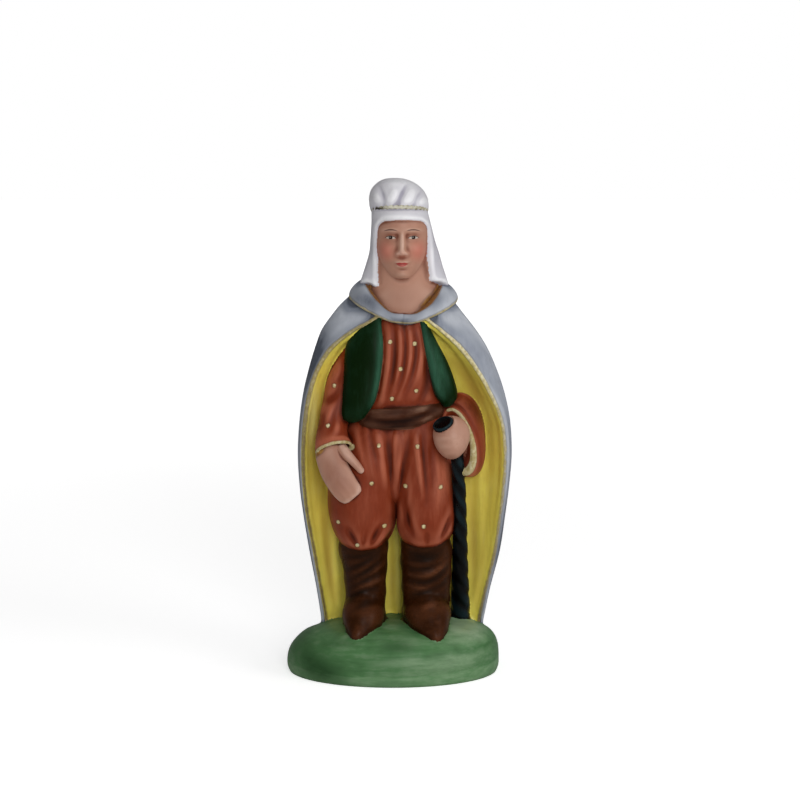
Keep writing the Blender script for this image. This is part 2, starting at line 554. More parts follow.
def sleeveForm(side, table, facing, relief=None, look=sleeveLook):
    rings = limbRings(table, look["step"], facing, relief)
    mouth = rings[np.argmin(rings[:, :, 1].mean(axis=1))]
    x, height = mouth[:, 0], mouth[:, 2]
    low = (height.mean() - height) / np.ptp(height)
    half, swell = look["gilt"][side]
    half = half + 2 * swell * low
    covers = [smoothStep(farX - x, 0, 1) * smoothStep(top - height, 0, soft)
              for farX, top, soft in look["hidden"][side]]
    half = half - look["hiding"] * np.max([0 * x, *covers], axis=0)
    line = np.column_stack([mouth, half, np.full(len(mouth), look["dullness"])])
    giltLines.append(np.vstack([line, line[:1]]))
    return skin(rings, paintSlot["clothPaint"])


def sleeveForms():
    return [sleeveForm("left", leftSleeveRows, forward, leftSleeveRelief),
            sleeveForm("right", rightSleeveRows, upward)]


# Hands: a fist round the staff, and a mitten of a hand that rests on the thigh. Their rows, like the
# sleeves', are x, y, z, half width and half thickness.

handLook = {"step": 0.4}
fistLook = {"centre": (12.3, -10.9, 47.2), "radii": (4.35, 4.2, 5.2), "taper": 0.13, "rings": 42, "sides": 67}
wristRows = [[14.4, -4, 46.4, 3, 3.6], [13.4, -8, 46.8, 3.1, 3.8], [12.6, -11, 47, 3, 3.6]]
palmRows = [
    [-16.6, -7.2, 46.4, 3.2, 2.4], [-16.6, -8.6, 43.4, 3.5, 2.3], [-15.7, -9.8, 39.9, 3.5, 2.15],
    [-14.4, -10.6, 37.4, 3.5, 1.95], [-12.95, -11, 35.2, 3.35, 1.75], [-11.75, -11.2, 33.8, 3.1, 1.5],
    [-11.1, -11.3, 33, 2.6, 1.2], [-10.9, -11.3, 32.75, 1.9, 0.8], [-10.85, -11.3, 32.7, 0.8, 0.4],
]
thumbRows = [
    [-14.2, -8.8, 44.4, 1.7, 1.6], [-12.8, -9.9, 43.1, 1.4, 1.4], [-11.3, -10.7, 41.8, 1.1, 1.2],
    [-10, -11.1, 40.4, 0.95, 1.05], [-9, -11.3, 39.2, 0.75, 0.8], [-8.7, -11.4, 38.8, 0.3, 0.3],
]
handStrokes = [
    [-13.7, 37.9, -12.2, 35.9, -10.3, 33.5, 0.3, -0.36],
    [-14.9, 36.8, -13.4, 34.8, -11.4, 32.5, 0.3, -0.36], [-16.1, 35.7, -14.6, 33.8, -12.8, 32, 0.3, -0.3],
]
knobLook = {"profile": [(0, -5), (2.1, -5), (2.35, -1.2), (2.52, -0.3), (2.48, 0.1), (2.25, 0.28),
                        (1.95, 0.2), (1.6, 0.02), (1.1, -0.15), (0.6, -0.22), (0, -0.24)],
            "axis": (-0.38, -0.42, 0.82), "place": (10.2, -12.4, 50.8), "seat": -0.55, "hold": 2.9,
            "sides": 40}
fistStrokes = [
    [8.2, 45.9, 10.2, 46.6, 12.4, 46.6, 0.35, -0.16], [8.4, 48, 10.4, 48.6, 12.8, 48.4, 0.35, -0.14],
    [8.9, 44.1, 10.6, 44.6, 12.4, 44.6, 0.35, -0.14],
]


def knuckles(x, z, angle, place):
    return strokeRelief(x, z, handStrokes) * smoothStep(np.sin(angle), -0.1, 0.4)


def fistForm(fist=fistLook, knob=knobLook):
    radiusX, radiusY, radiusZ = fist["radii"]
    middle = np.array(fist["centre"])
    lift = np.linspace(-math.pi / 2, math.pi / 2, fist["rings"])[1:-1, None]
    angle = roundTurn(fist["sides"])[None, :]
    x = middle[0] + radiusX * np.cos(lift) * (1 + fist["taper"] * np.sin(lift)) * np.sin(angle)
    z = middle[2] + radiusZ * np.sin(lift) + 0 * angle
    deep = radiusY + strokeRelief(x, z, fistStrokes) * inFront(angle)
    y = middle[1] - deep * np.cos(lift) * np.cos(angle)
    points = np.stack([x, y, z], axis=2)
    axis = np.array(Vector(knob["axis"]).normalized())
    above = (points - knob["place"]) @ axis  # the fist is pressed in under the staff's top
    aside = np.linalg.norm(points - knob["place"] - above[..., None] * axis, axis=2)
    pressed = np.maximum(above - knob["seat"], 0) * smoothStep(knob["hold"] - aside, 0, 0.5)
    return skin(points - pressed[..., None] * axis, paintSlot["skinPaint"])


def handForms(look=handLook):
    return [limb(palmRows, look["step"], "skinPaint", relief=knuckles),
            limb(thumbRows, look["step"], "skinPaint"),
            limb(wristRows, look["step"], "skinPaint", upward),
            fistForm()]


# Boots and pointed feet. The boots' rows: height, middle x, middle y, half width, half depth.
# The feet's: x, y, z, half width, half thickness.

bootLook = {"step": 0.6, "creases": 0.15, "creaseHeight": 6.2, "crowd": 0.35}
leftBootRows = [
    [22, -8.8, -1.8, 5.6, 5.4], [19, -8.8, -1.8, 6.1, 5.8], [13, -8.4, -1.9, 5.3, 5.1],
    [8.5, -8.3, -2, 5, 4.9], [6, -8.3, -2, 4.9, 5.3], [4, -8.4, -2, 5, 6.1], [1.5, -8.5, -2, 5.1, 7.2],
    [-2, -8.6, -2, 5, 7.2],
]
rightBootRows = [
    [22, 6.3, -1.8, 5.8, 5.6], [18, 6.5, -1.8, 6.3, 5.8], [9, 6.5, -1.9, 5.9, 5.1],
    [6.5, 6.5, -2, 5.8, 5.4], [4.5, 6.4, -2, 5.7, 6.1], [2, 6.3, -2, 5.6, 7.2], [-2, 6.3, -2, 5.6, 7.2],
]
leftFootRows = [
    [-8.2, 2.2, 1.6, 4, 3.8], [-8.6, -1.8, 3, 4.9, 5.6], [-8.8, -4.6, 2.8, 5.1, 5.6],
    [-9.1, -7.1, 1.6, 4.7, 4.9], [-9.7, -9.6, 0, 3.4, 3.1], [-10.2, -11.4, -1.2, 1.9, 1.9],
    [-10.5, -12.1, -2.4, 0.9, 0.9],
]
rightFootRows = [
    [6, 2.2, 1.6, 4.4, 3.8], [6.4, -1.8, 3, 5.6, 5.6], [6.9, -4.8, 2.8, 5.7, 5.6], [7.4, -7.5, 1.6, 5, 5],
    [8.2, -10.1, 0, 3.6, 3.3], [8.8, -12.1, -1.4, 2, 2], [9.1, -12.9, -2.7, 0.9, 0.9],
]
bootStrokes = [
    [-13.2, 17.2, -9.3, 17.6, -4.2, 19.4, 0.5, -0.45], [-12.9, 13.7, -9.3, 15.6, -3.8, 18.3, 0.5, -0.6],
    [-12.7, 11.3, -8.7, 13.4, -3.6, 17, 0.5, -0.6], [-12.6, 9.2, -9, 11.2, -3.4, 13.8, 0.5, -0.55],
    [-12.3, 7.2, -9, 8.9, -4.6, 9.9, 0.5, -0.5], [-11.4, 4.9, -8.7, 6.1, -5, 6.9, 0.5, -0.4],
    [-12.6, 12.5, -9, 14.6, -4, 17.8, 0.5, 0.25], [-12.4, 10.2, -9, 12.4, -3.8, 15.4, 0.5, 0.25],
    [0.8, 18.9, 4.2, 17.9, 9.7, 19.2, 0.5, -0.45], [0.9, 17, 4.8, 16.4, 11.8, 18.9, 0.5, -0.5],
    [1, 14.6, 5.4, 14.3, 11.9, 17.6, 0.5, -0.5], [1.3, 11.9, 6.3, 11.2, 11.9, 15, 0.5, -0.5],
    [2.4, 7.6, 7.2, 9.3, 12, 11.7, 0.5, -0.5], [3.6, 5.2, 7.2, 6.9, 11.4, 7.2, 0.5, -0.4],
    [3.8, 4.3, 7, 6.2, 10.8, 6.5, 0.5, 0.25], [1.5, 13.1, 6, 12.8, 11.8, 16.2, 0.6, 0.25],
    [1.2, 15.8, 5, 15.4, 11.8, 18.2, 0.4, 0.25], [1.2, 10.4, 6, 9.6, 11.8, 13.2, 0.6, 0.3],
    [-12.6, 15.4, -9, 16.6, -4, 18.9, 0.4, 0.25], [-12.4, 8.2, -9, 10.2, -3.6, 11.8, 0.5, 0.3],
]


def bootRelief(phase, look=bootLook):
    def relief(x, z, angle):
        wave = z * fullTurn / look["creaseHeight"] - 1.6 * np.sin(angle + 0.4) + phase
        behind = look["creases"] * np.cos(wave) * (1 - inFront(angle))
        return behind + strokeRelief(x, z, bootStrokes) * inFront(angle)
    return relief


def bootForms(look=bootLook):
    boot = paintSlot["bootPaint"]
    return [column(leftBootRows, look["step"], boot, bootRelief(0), look["crowd"]),
            column(rightBootRows, look["step"], boot, bootRelief(2), look["crowd"]),
            limb(leftFootRows, look["step"], "bootPaint", upward),
            limb(rightFootRows, look["step"], "bootPaint", upward)]


# The staff, a rope of three strands, and its dished top that shows in the fist. Rows as for the sleeves.

staffLook = {"step": 0.42, "strands": 3, "turns": 3.2, "strandRise": 0.1, "groove": 0.38, "grooveWidth": 0.75,
             "rimPoints": 46}
staffRows = [
    [13.3, -9.8, 46, 1.4, 1.4], [14.1, -7.6, 38, 1.5, 1.5], [14.6, -4.6, 27, 1.6, 1.6],
    [14.8, -0.6, 14, 1.9, 1.9], [15, 2.8, 3, 2.3, 2.3], [15.1, 3.6, -2, 2.4, 2.4],
]


def staffForms(look=staffLook, knob=knobLook):
    def strands(x, z, angle, place):
        phase = look["strands"] * (angle - look["turns"] * fullTurn * place)
        away = np.abs((phase + math.pi) % fullTurn - math.pi)
        return look["strandRise"] - look["groove"] * bump(math.pi - away, look["grooveWidth"])

    turn = Vector(upward).rotation_difference(Vector(knob["axis"])).to_matrix()
    dense = evenLine(knob["profile"], look["rimPoints"])
    around = roundTurn(knob["sides"])[None, :]
    radius, rise = np.maximum(dense[:, :1], 0.02), dense[:, 1:2] + 0 * around
    local = np.stack([radius * np.cos(around), radius * np.sin(around), rise], axis=2)
    rings = local @ np.array(turn).T + np.array(knob["place"])
    return [limb(staffRows, look["step"], "staffPaint", relief=strands),
            skin(rings, paintSlot["staffPaint"])]


# Head and neck. The face is a plain one of its own, calm and evenly proportioned: eyes half way down
# the head and one eye's width apart, the nose's foot half way from the brow to the chin.

faceLook = {"middle": 0.6, "eyeLine": 94.2, "eyeSpread": 2.7, "step": 0.24, "neckStep": 0.6, "neckCrowd": 0.3}
neckRows = [
    [72, 1, -1.2, 8.2, 6], [77, 1, -1.3, 8.4, 5.6], [82, 0.9, -1.4, 8.4, 5.4], [87, 0.8, -1.4, 8.2, 5.4],
    [91, 0.7, -1.4, 7, 5.2],
]
headRows = [
    [84.2, 0.6, -2.7, 1.8, 2.4], [84.8, 0.6, -2.6, 3.6, 4.6], [87, 0.6, -2.2, 5.2, 6.2],
    [90, 0.6, -1.9, 6.2, 6.9], [94, 0.6, -1.7, 6.5, 7.1], [98, 0.5, -1.6, 6.1, 6.8],
    [101, 0.4, -1.5, 4.6, 5.6], [102.2, 0.4, -1.5, 2.6, 3.2],
]
# Rows: distance from the middle, height from the eye line, half widths across and up, and how far it
# stands out. Mounds are on both sides of the face.
faceMounds = [
    (2.7, 0.15, 1.8, 1.15, -0.75), (1.25, 0.45, 0.6, 0.8, -0.25),  # sockets
    (2.7, 0.0, 1.15, 0.62, 0.62), (2.7, 0.95, 1.5, 0.22, -0.12), (2.7, -0.75, 1.3, 0.22, -0.08),  # lids
    (2.6, 1.75, 2.0, 0.6, 0.28),  # brow
    (3.5, -2.9, 1.7, 1.7, 0.5), (1.05, -3.75, 0.42, 0.42, 0.55),  # cheeks and sides of the nose
    (1.75, -6.1, 0.4, 0.4, -0.2), (1.3, -5.6, 0.8, 0.8, 0.1),  # corners of the mouth
]
faceMiddle = [
    (0, -3.45, 0.85, 0.65, 0.75), (0, -3.0, 1.0, 1.3, 0.75), (0, -1.4, 0.72, 1.5, 0.75),  # nose
    (0, 0.4, 0.7, 1.0, 0.3), (0, 3.4, 4.0, 1.6, 0.15),
    (0, -6.0, 2.3, 1.7, 0.5), (0, -5.62, 1.35, 0.28, 0.42), (0, -6.1, 1.7, 0.14, -0.38),  # muzzle, upper lip
    (0, -6.55, 1.05, 0.34, 0.48), (0, -4.95, 0.3, 0.45, -0.14), (0, -7.35, 1.3, 0.4, -0.18),  # lower lip
    (0, -8.75, 1.8, 1.15, 0.7),  # chin
    (0, -4.3, 1.2, 0.3, -0.25),  # under the nose
]


def faceRelief(x, z, angle, look=faceLook):
    across, up = x - look["middle"], z - look["eyeLine"]
    total = np.zeros_like(x)
    for rows, far in ((faceMounds, np.abs(across)), (faceMiddle, across)):
        for place, height, wide, tall, rise in rows:
            total += rise * bump(far - place, wide) * bump(up - height, tall)
    return total * smoothStep(np.cos(angle), 0.1, 0.6)


def headForms(look=faceLook):
    skinPaint = paintSlot["skinPaint"]
    return [column(neckRows, look["neckStep"], skinPaint, crowd=look["neckCrowd"]),
            column(headRows, look["step"], skinPaint, faceRelief)]


# The headscarf, with a window for the face. Rows: height, middle x, middle y, half width, half depth,
# and how much lower the cloth hangs behind. The window's rows: height, x of its left and right edges.

scarfLook = {"step": 0.32, "girth": 54.04, "crowd": 0.3, "recess": 0.7, "lip": 0.16, "windowTop": 98.5,
             "corner": 2.2, "folds": 0.03, "leftTip": 1.5, "leftTipX": -5.0}
scarfRows = [
    [102.4, -0.1, -0.6, 5.4, 5.6, 0], [101, 0, -0.6, 6.5, 7.2, 0], [99.5, 0.1, -0.8, 6.8, 8, 0],
    [97.6, 0.35, -0.8, 7.05, 8.1, 0], [93.6, 0.75, -0.55, 7.7, 7.8, 0.8],
    [90.8, 1.1, -0.4, 8.35, 7.6, 2.2], [88, 1.1, -0.3, 9.3, 7.4, 4.6], [85.2, 1.1, -0.1, 10.4, 7.4, 7.6],
    [84.2, 1.1, -0.1, 10.6, 7.3, 8.4], [83.8, 1.1, -0.1, 9.2, 6.2, 8.4],
]
windowRows = [[83, -5.6, 8], [87.5, -5.6, 7.5], [91.3, -5.7, 7.4], [95, -5.6, 7.1], [98.5, -5.5, 6.9]]


def scarfForm(look=scarfLook):
    rows = evenRows(scarfRows, look["step"], [0, 3])
    angle = crowded(int(look["girth"] / look["step"]), look["crowd"])
    z, middleX, middleY, wide, deep, drop = spread(rows, angle)
    x = middleX + wide * np.sin(angle)
    height = z - drop * ((1 - np.cos(angle)) / 2) ** 2
    tip = bump(x - look["leftTipX"], 1.8) * smoothStep(np.cos(angle), 0, 0.3) * smoothStep(89 - z, 0, 5)
    height = height - look["leftTip"] * tip
    heights, *edges = np.array(windowRows).T
    left, right = (np.interp(height, heights, edge) for edge in edges)
    beside = np.maximum(left - x, x - right) + look["corner"]
    above = height - look["windowTop"] + look["corner"] + 0.012 * (x - 0.6) ** 2
    outside = np.hypot(np.maximum(beside, 0), np.maximum(above, 0)) - look["corner"]
    outside = np.where(np.cos(angle) > 0, outside, 5.0)  # mm outside the window, less than 0 within it
    opened = 1 - smoothStep(outside, -0.75, 0.1)
    behind = 1 - smoothStep(np.abs(angle - math.pi), 0.6, 2.2)
    grow = 1 + look["folds"] * np.cos(5 * angle) * smoothStep(95 - z, 0, 8) * behind
    grow = grow * blend(1, look["recess"], opened)
    roll = look["lip"] * bump(outside - 0.45, 0.4) * smoothStep(np.cos(angle), 0, 0.2)
    x = middleX + (wide * grow + roll) * np.sin(angle)
    y = middleY - (deep * grow + roll) * np.cos(angle)
    return skin(np.stack([x, y, height], axis=2), paintSlot["linenPaint"])


# The turban in soft puffs, and the twisted cord round it.

turbanLook = {"step": 0.42, "folds": 0.2, "crowd": 0.2}
turbanRows = [
    [99.8, 0, -0.6, 6.2, 6.6], [100.6, -0.05, -0.6, 6.9, 7.3], [102.3, -0.15, -0.5, 7.15, 7.6],
    [103.9, -0.4, -0.4, 6.75, 7.2], [105.5, -0.65, -0.3, 5.85, 6.3], [107, -0.9, -0.2, 4.1, 4.5],
    [107.8, -1.1, -0.1, 2.2, 2.4], [108, -1.1, -0.1, 0.6, 0.7],
]
turbanStrokes = [
    [2, 107.2, 0.9, 104.9, -1.3, 101.6, 0.6, -0.75], [-1.6, 106.6, -1.3, 104.6, -2.4, 102.6, 1, 0.5],
    [3.2, 106.2, 2.6, 104.2, 1.4, 102.4, 1.1, 0.5], [-5.2, 106.6, -4.1, 104.6, -3.6, 101.7, 0.5, -0.5],
    [-5.6, 104.6, -5.3, 103.4, -4.9, 102.4, 0.8, 0.35], [5.6, 105.6, 4.5, 103.8, 3.2, 102, 0.45, -0.45],
    [-3.4, 106.9, -1.2, 107, 1.2, 106.6, 0.5, 0.2], [5.9, 103.4, 5.2, 102.8, 4.4, 102.2, 0.6, 0.3],
]
cordLook = {"radius": 6.5, "depth": 1.17, "thickness": 0.42, "lean": -7.0, "centre": (0, -0.6, 100.5),
            "twists": 34, "strand": 0.12, "turns": 240, "sides": 12}


def turbanRelief(x, z, angle):
    around = turbanLook["folds"] * np.cos(6 * angle + 0.5 * (z - 101)) * smoothStep(z, 101, 103)
    return around * (1 - inFront(angle)) + strokeRelief(x, z, turbanStrokes) * inFront(angle)


def cordForm(look=cordLook):
    angle = roundTurn(look["turns"])[:, None]
    around = roundTurn(look["sides"])[None, :]
    thick = look["thickness"] + look["strand"] * np.cos(2 * around - look["twists"] * angle)
    reach = look["radius"] + thick * np.cos(around)
    x, y, z = reach * np.sin(angle), -look["depth"] * reach * np.cos(angle), thick * np.sin(around)
    lean = math.radians(look["lean"])
    y, z = y * math.cos(lean) - z * math.sin(lean), y * math.sin(lean) + z * math.cos(lean)
    return skin(np.stack([x, y, z], axis=2) + look["centre"], paintSlot["cordPaint"], loop=True)


def turbanForms(look=turbanLook):
    linen = paintSlot["linenPaint"]
    return [column(turbanRows, look["step"], linen, turbanRelief, look["crowd"]), cordForm()]


forms = [moundForm(), capeForm(), collarForm(), *clothForms(), sashForm(), frontForm(leftFrontRows),
         frontForm(rightFrontRows), *sleeveForms(), *handForms(), *bootForms(), *staffForms(), *headForms(),
         scarfForm(), *turbanForms()]
print("forms made:", len(forms), "with", sum(len(form[1]) for form in forms), "faces")


# One body of clay: the forms are joined where they meet, and the hollows between them softened.

unionLook = {"merge": 0.05, "pinholeSides": 12, "creaseDegrees": 28, "spread": 2, "softening": 6,
             "softShare": 0.5, "flowing": 30}
# Smoothed more: where shin runs into foot, then the scarf's edges. Each is x, y, height, reach and strength.
flowPlaces = [
    (-8.6, -7.4, 6.2, 3, 0.6), (6.8, -7.4, 6.2, 3.2, 0.6), (7.9, -5.7, 84.8, 1.4, 0.12),
    (7.6, -5.6, 86.8, 1.4, 0.12), (7.5, -5.6, 88.8, 1.4, 0.12), (7.4, -5.3, 90.8, 1.4, 0.12),
    (7.3, -5, 92.8, 1.4, 0.12), (7.1, -4.6, 94.8, 1.4, 0.12), (-5.6, -5.4, 84.4, 1.2, 0.12),
    (-5.6, -5.5, 86.4, 1.2, 0.1), (-5.6, -5.5, 88.4, 1.2, 0.1),
]


def formObject(name, form):
    points, faces, paints = form
    mesh = bpy.data.meshes.new(name)
    mesh.from_pydata(points.tolist(), [], faces)
    mesh.polygons.foreach_set("material_index", paints)
    for paintName in paintNames:
        mesh.materials.append(bpy.data.materials.get(paintName) or bpy.data.materials.new(paintName))
    mesh.validate()
    return bpy.data.objects.new(name, mesh)


def joined(forms):
    parts = [formObject(f"form{n}", form) for n, form in enumerate(forms)]
    others = bpy.data.collections.new("toJoin")
    for part in parts[1:]:
        others.objects.link(part)
    bpy.context.scene.collection.children.link(others)
    bpy.context.collection.objects.link(parts[0])
    union = parts[0].modifiers.new("union", "BOOLEAN")
    union.operation, union.solver = "UNION", "MANIFOLD"
    union.operand_type, union.collection = "COLLECTION", others
    union.material_mode = "INDEX"
    result = parts[0].evaluated_get(bpy.context.evaluated_depsgraph_get())
    mesh = bpy.data.meshes.new_from_object(result)
    for part in parts:
        bpy.data.objects.remove(part)
    bpy.data.collections.remove(others)
    return mesh


def islands(work):
    # the points of each separate stretch of surface, the largest last
    left, found = set(work.verts), []
    while left:
        front, island = [left.pop()], []
        while front:
            island.append(front.pop())
            for edge in island[-1].link_edges:
                other = edge.other_vert(island[-1])
                if other in left:
                    left.remove(other)
                    front.append(other)
        found.append(island)
    return sorted(found, key=len)


def cleaned(mesh, look=unionLook):
    # joins doubled points, drops crumbs between the forms and closes pinholes; gives back 1 for each
    # point in a sharp hollow, and 0 for the others
    work = bmesh.new()
    work.from_mesh(mesh)
    bmesh.ops.remove_doubles(work, verts=work.verts, dist=look["merge"])
    bmesh.ops.dissolve_degenerate(work, edges=work.edges, dist=look["merge"] / 2)
    bmesh.ops.delete(work, geom=[edge for edge in work.edges if not edge.link_faces], context="EDGES")
    crumbs = [vert for island in islands(work)[:-1] for vert in island]
    bmesh.ops.delete(work, geom=crumbs, context="VERTS")
    pinholes = [edge for edge in work.edges if len(edge.link_faces) == 1]
    for face in bmesh.ops.holes_fill(work, edges=pinholes, sides=look["pinholeSides"])["faces"]:
        face.material_index = next(other.material_index for edge in face.edges for other in edge.link_faces
                                   if other is not face)
    bmesh.ops.delete(work, geom=[vert for vert in work.verts if not vert.link_faces], context="VERTS")
    bmesh.ops.recalc_face_normals(work, faces=work.faces)
    sharp = math.radians(look["creaseDegrees"])
    work.verts.index_update()
    weight = np.zeros(len(work.verts))
    for edge in work.edges:
        if len(edge.link_faces) == 2 and edge.calc_face_angle_signed(0) < -sharp:
            weight[[edge.verts[0].index, edge.verts[1].index]] = 1
    work.to_mesh(mesh)
    work.free()
    return weight


def neighbours(mesh):
    # gives back a function that averages values over each point's neighbours
    ends = np.empty(len(mesh.edges) * 2, int)
    mesh.edges.foreach_get("vertices", ends)
    a, b = ends.reshape(-1, 2).T
    count = len(mesh.vertices)
    shared = np.maximum(np.bincount(a, minlength=count) + np.bincount(b, minlength=count), 1)

    def average(values):
        columns = values.reshape(count, -1).T
        sums = [np.bincount(a, v[b], count) + np.bincount(b, v[a], count) for v in columns]
        return (np.stack(sums, axis=1) / shared[:, None]).reshape(values.shape)
    return average


def vectorsOf(items, key):
    flat = np.empty(len(items) * 3)
    items.foreach_get(key, flat)
    return flat.reshape(-1, 3)


def softened(places, crease, average, look=unionLook):
    for _ in range(look["spread"]):
        crease = np.maximum(crease, average(crease))
    for _ in range(look["softening"]):
        places = places + look["softShare"] * crease[:, None] * (average(places) - places)
    flow = np.zeros(len(places))
    for *spot, reach, strength in flowPlaces:
        flow += strength * bump(np.linalg.norm(places - spot, axis=1), reach)
    for _ in range(look["flowing"]):
        places = places + flow[:, None] * (average(places) - places)
    return places


clay = joined(forms)
print("joined:", len(clay.polygons), "faces")
crease = cleaned(clay)
average = neighbours(clay)
places = softened(vectorsOf(clay.vertices, "co"), crease, average)
clay.vertices.foreach_set("co", places.ravel())
print("softened:", len(clay.vertices), "points")


# What the brush needs to know at each point: how hollow it lies, how far from gold edges and dots,
# and where a lighter or darker wash was laid over the folds.

washLook = {"facing": (-0.3, 0.2), "blurRounds": 14, "hollowScale": 4.6, "evenRounds": 2, "broadRounds": 40,
            "broadShare": 0.8}
dotLook = {"radius": 0.49, "frontY": -1, "farAway": 9.0}
dotPlaces = [
    (-2.2, 69.6), (3.6, 69.2), (0.3, 63.3), (4, 58.1), (-1.8, 56.2), (-15.5, 59.1), (-17, 49.9),
    (-4.9, 45.1), (4.3, 44.9), (-6.6, 36.1), (1.4, 35.3), (9.8, 35.1), (-14.7, 26.3), (-3.6, 25.4),
    (5.8, 25.7), (-10.1, 20.8),
]
# Washes in front, drawn like the folds: lighter where the height is positive, darker where it is negative.
washStrokes = {
    "moundPaint": [
        [-27, -5, -21, -8, -11, -10.5, 4, -0.9], [4, -8, 13, -6.6, 21, -5, 2.2, 0.6],
        [12, 0.6, 16.5, 0.4, 20, -1, 1.5, 2.4], [-8, -6.8, 0, -5.8, 8, -6.2, 0.6, 0.5],
        [-6, -3.6, 0, -2.6, 5, -3.4, 1.2, -0.6], [-20, -1.2, -16, 0, -12, 0.2, 0.8, 0.35],
        [-14, -9.4, -6, -10.2, 2, -9.6, 0.5, 0.5], [10, -2.4, 15, -2, 21, -2.8, 0.6, 0.5],
        [-18, -3.4, -13, -2.4, -9, -2.6, 0.6, -0.4], [12, -4.2, 17, -4.4, 22, -3.8, 0.5, -0.4],
    ],
    "capePaint": [
        [-17, 76, -20, 66, -22.6, 54, 3.4, -1.05], [-12.6, 81, -9, 79.6, -4, 76.6, 2.6, -0.8],
        [-3, 75.6, 1, 74.8, 5, 75.6, 0.8, -0.9], [6, 78, 9, 80, 11.6, 81.4, 1.2, -0.5],
        [17, 73, 23, 62, 26, 48, 2.5, 0.4], [26, 32, 24.6, 17, 21.4, 2, 1.3, -1.1],
        [-24.6, 34, -22.6, 17, -19.8, 2, 1.2, -1],
    ],
    "skinPaint": [
        [-16.6, 45, -15.5, 39, -12.4, 33.5, 3, -0.5], [-6.8, 83, -5.6, 79.6, -3.2, 77.4, 1, -0.9],
        [9, 83, 7.8, 79.6, 5, 77.6, 1.2, -0.9], [13.6, 43.8, 12.4, 42.9, 11, 43.4, 1, -0.4],
        [12, 49, 13.6, 47, 14.2, 44.6, 2, 0.5], [-3, 80.4, 0.5, 79.4, 4, 80.4, 2.6, -0.2],
    ],
    "linenPaint": [
        [-7.6, 97, -8.6, 90, -9.8, 85, 2.6, -0.25], [8.4, 97, 9.6, 90, 11, 85, 2.6, -0.4],
        [-4, 105, 1, 107.4, 5, 104.6, 2.4, 0.7],
    ],
    "cordPaint": [[-7, 101.4, -4.6, 100.7, -1.6, 100.3, 0.6, -1.3]],
    "waistcoatPaint": [
        [-4.6, 75, -4.4, 64, -6.6, 54.4, 0.9, 1.5], [5.4, 74.6, 6.9, 66, 10.2, 56.4, 0.8, 1.6],
        [7.6, 71, 9.4, 64, 11, 58, 1.2, 0.7], [-12.4, 68, -12.8, 60, -12.4, 54, 0.8, -0.6],
        [9.6, 65, 11, 61, 11.9, 57.4, 0.6, 0.3],
    ],
    "sashPaint": [
        [3.4, 53.4, 5, 53.6, 7, 54, 0.5, 1.6], [4.8, 50.7, 6.4, 51.3, 7.9, 52.2, 0.5, 1.5],
        [-0.8, 48.9, 1.6, 48.8, 3.6, 49.4, 0.4, 0.9], [-7.2, 52.5, -2, 52.2, 3, 52.3, 0.4, 0.3],
        [-7.8, 51.3, 0, 50.8, 8.8, 53.3, 0.35, -1.2], [-7.4, 49.9, 0, 49.5, 7, 51.1, 0.3, -1.2],
        [-10, 52.6, -8.4, 51.6, -6.6, 50.6, 1.6, -0.6],
    ],
    "staffPaint": [[14.4, 26, 14.6, 14, 14.8, 0, 1.6, -1]],
    "bootPaint": [
        [4.6, 5, 7.4, 6.6, 9.4, 7.4, 0.9, 0.8], [7.2, 13.2, 9.6, 15.6, 10.8, 18, 1, 0.6],
        [-8.6, 8.2, -7.2, 10, -5.4, 16, 0.9, 0.35], [-9.9, 1.6, -9.9, -0.2, -10.2, -1.6, 0.8, 0.4],
        [8.6, 0.4, 9, -1.4, 9.4, -2.4, 0.8, 0.5],
    ],
    "liningPaint": [
        [-18.4, 26, -17.6, 15, -16.2, 3, 1, -0.9], [17.4, 34, 18.2, 18, 18.6, 3, 0.8, -0.8],
        [20.6, 30, 20.4, 18, 19.8, 4, 0.6, -0.5], [-2.2, 20, -1.8, 10, -2, 1, 0.9, -0.6],
        [11.5, 66, 16.5, 60, 20, 50, 1.6, -0.7], [-20.4, 60, -21, 51, -21.4, 42, 1, 1.2],
    ],
    "clothPaint": [
        [4.1, 47.9, 4.6, 41.4, 6, 32.4, 0.6, 0.5], [-10.3, 49.6, -9.2, 43.8, -6.5, 36.9, 0.6, 0.5],
        [2, 48.4, 1.6, 47.6, 0.6, 46.6, 0.9, 0.5], [8.8, 41.7, 9.3, 34.8, 8.8, 28.6, 1.4, 0.35],
        [-8, 34, -8.6, 29, -8.4, 24, 3, 0.2], [10.6, 48, 11.2, 40, 10.4, 32, 1.4, 0.9],
        [-0.6, 60, -1.4, 58, -2.4, 56.3, 0.8, 0.3], [12.6, 55.4, 17, 53.8, 19.6, 48.6, 1.5, -0.75],
        [-10, 66, -12, 60, -13, 54, 1, -0.6], [-10, 47, -12.6, 41, -13.6, 35, 1.4, -0.6],
        [6, 66, 6.8, 60, 5.6, 56, 0.8, -0.5],
    ],
}
# The folds again, so that the paint is lighter along the ridges and darker in the grooves, with a strength.
foldWash = {"clothPaint": (tunicStrokes + trouserStrokes + sleeveStrokes, 1.1),
            "bootPaint": (bootStrokes, 2.6), "sashPaint": (sashStrokes, 1.6),
            "linenPaint": (turbanStrokes, 0.6)}


def nearLines(points, lines, spacing=0.15):
    # distance from the nearest gold edge, less than 0 on the gold, and how dull that gold is
    samples = []
    for line in lines:
        line = np.array(line, float)
        samples.append(evenLine(line, int(distancesAlong(line[:, :3])[-1] / spacing)))
    samples = np.vstack(samples)
    tree = KDTree(len(samples))
    for i, sample in enumerate(samples):
        tree.insert(sample[:3], i)
    tree.balance()
    found = [tree.find(point)[1:] for point in points]
    return np.array([(distance - samples[i, 3], samples[i, 4]) for i, distance in found]).T


def averaged(values, average, rounds):
    for _ in range(rounds):
        values = average(values)
    return values


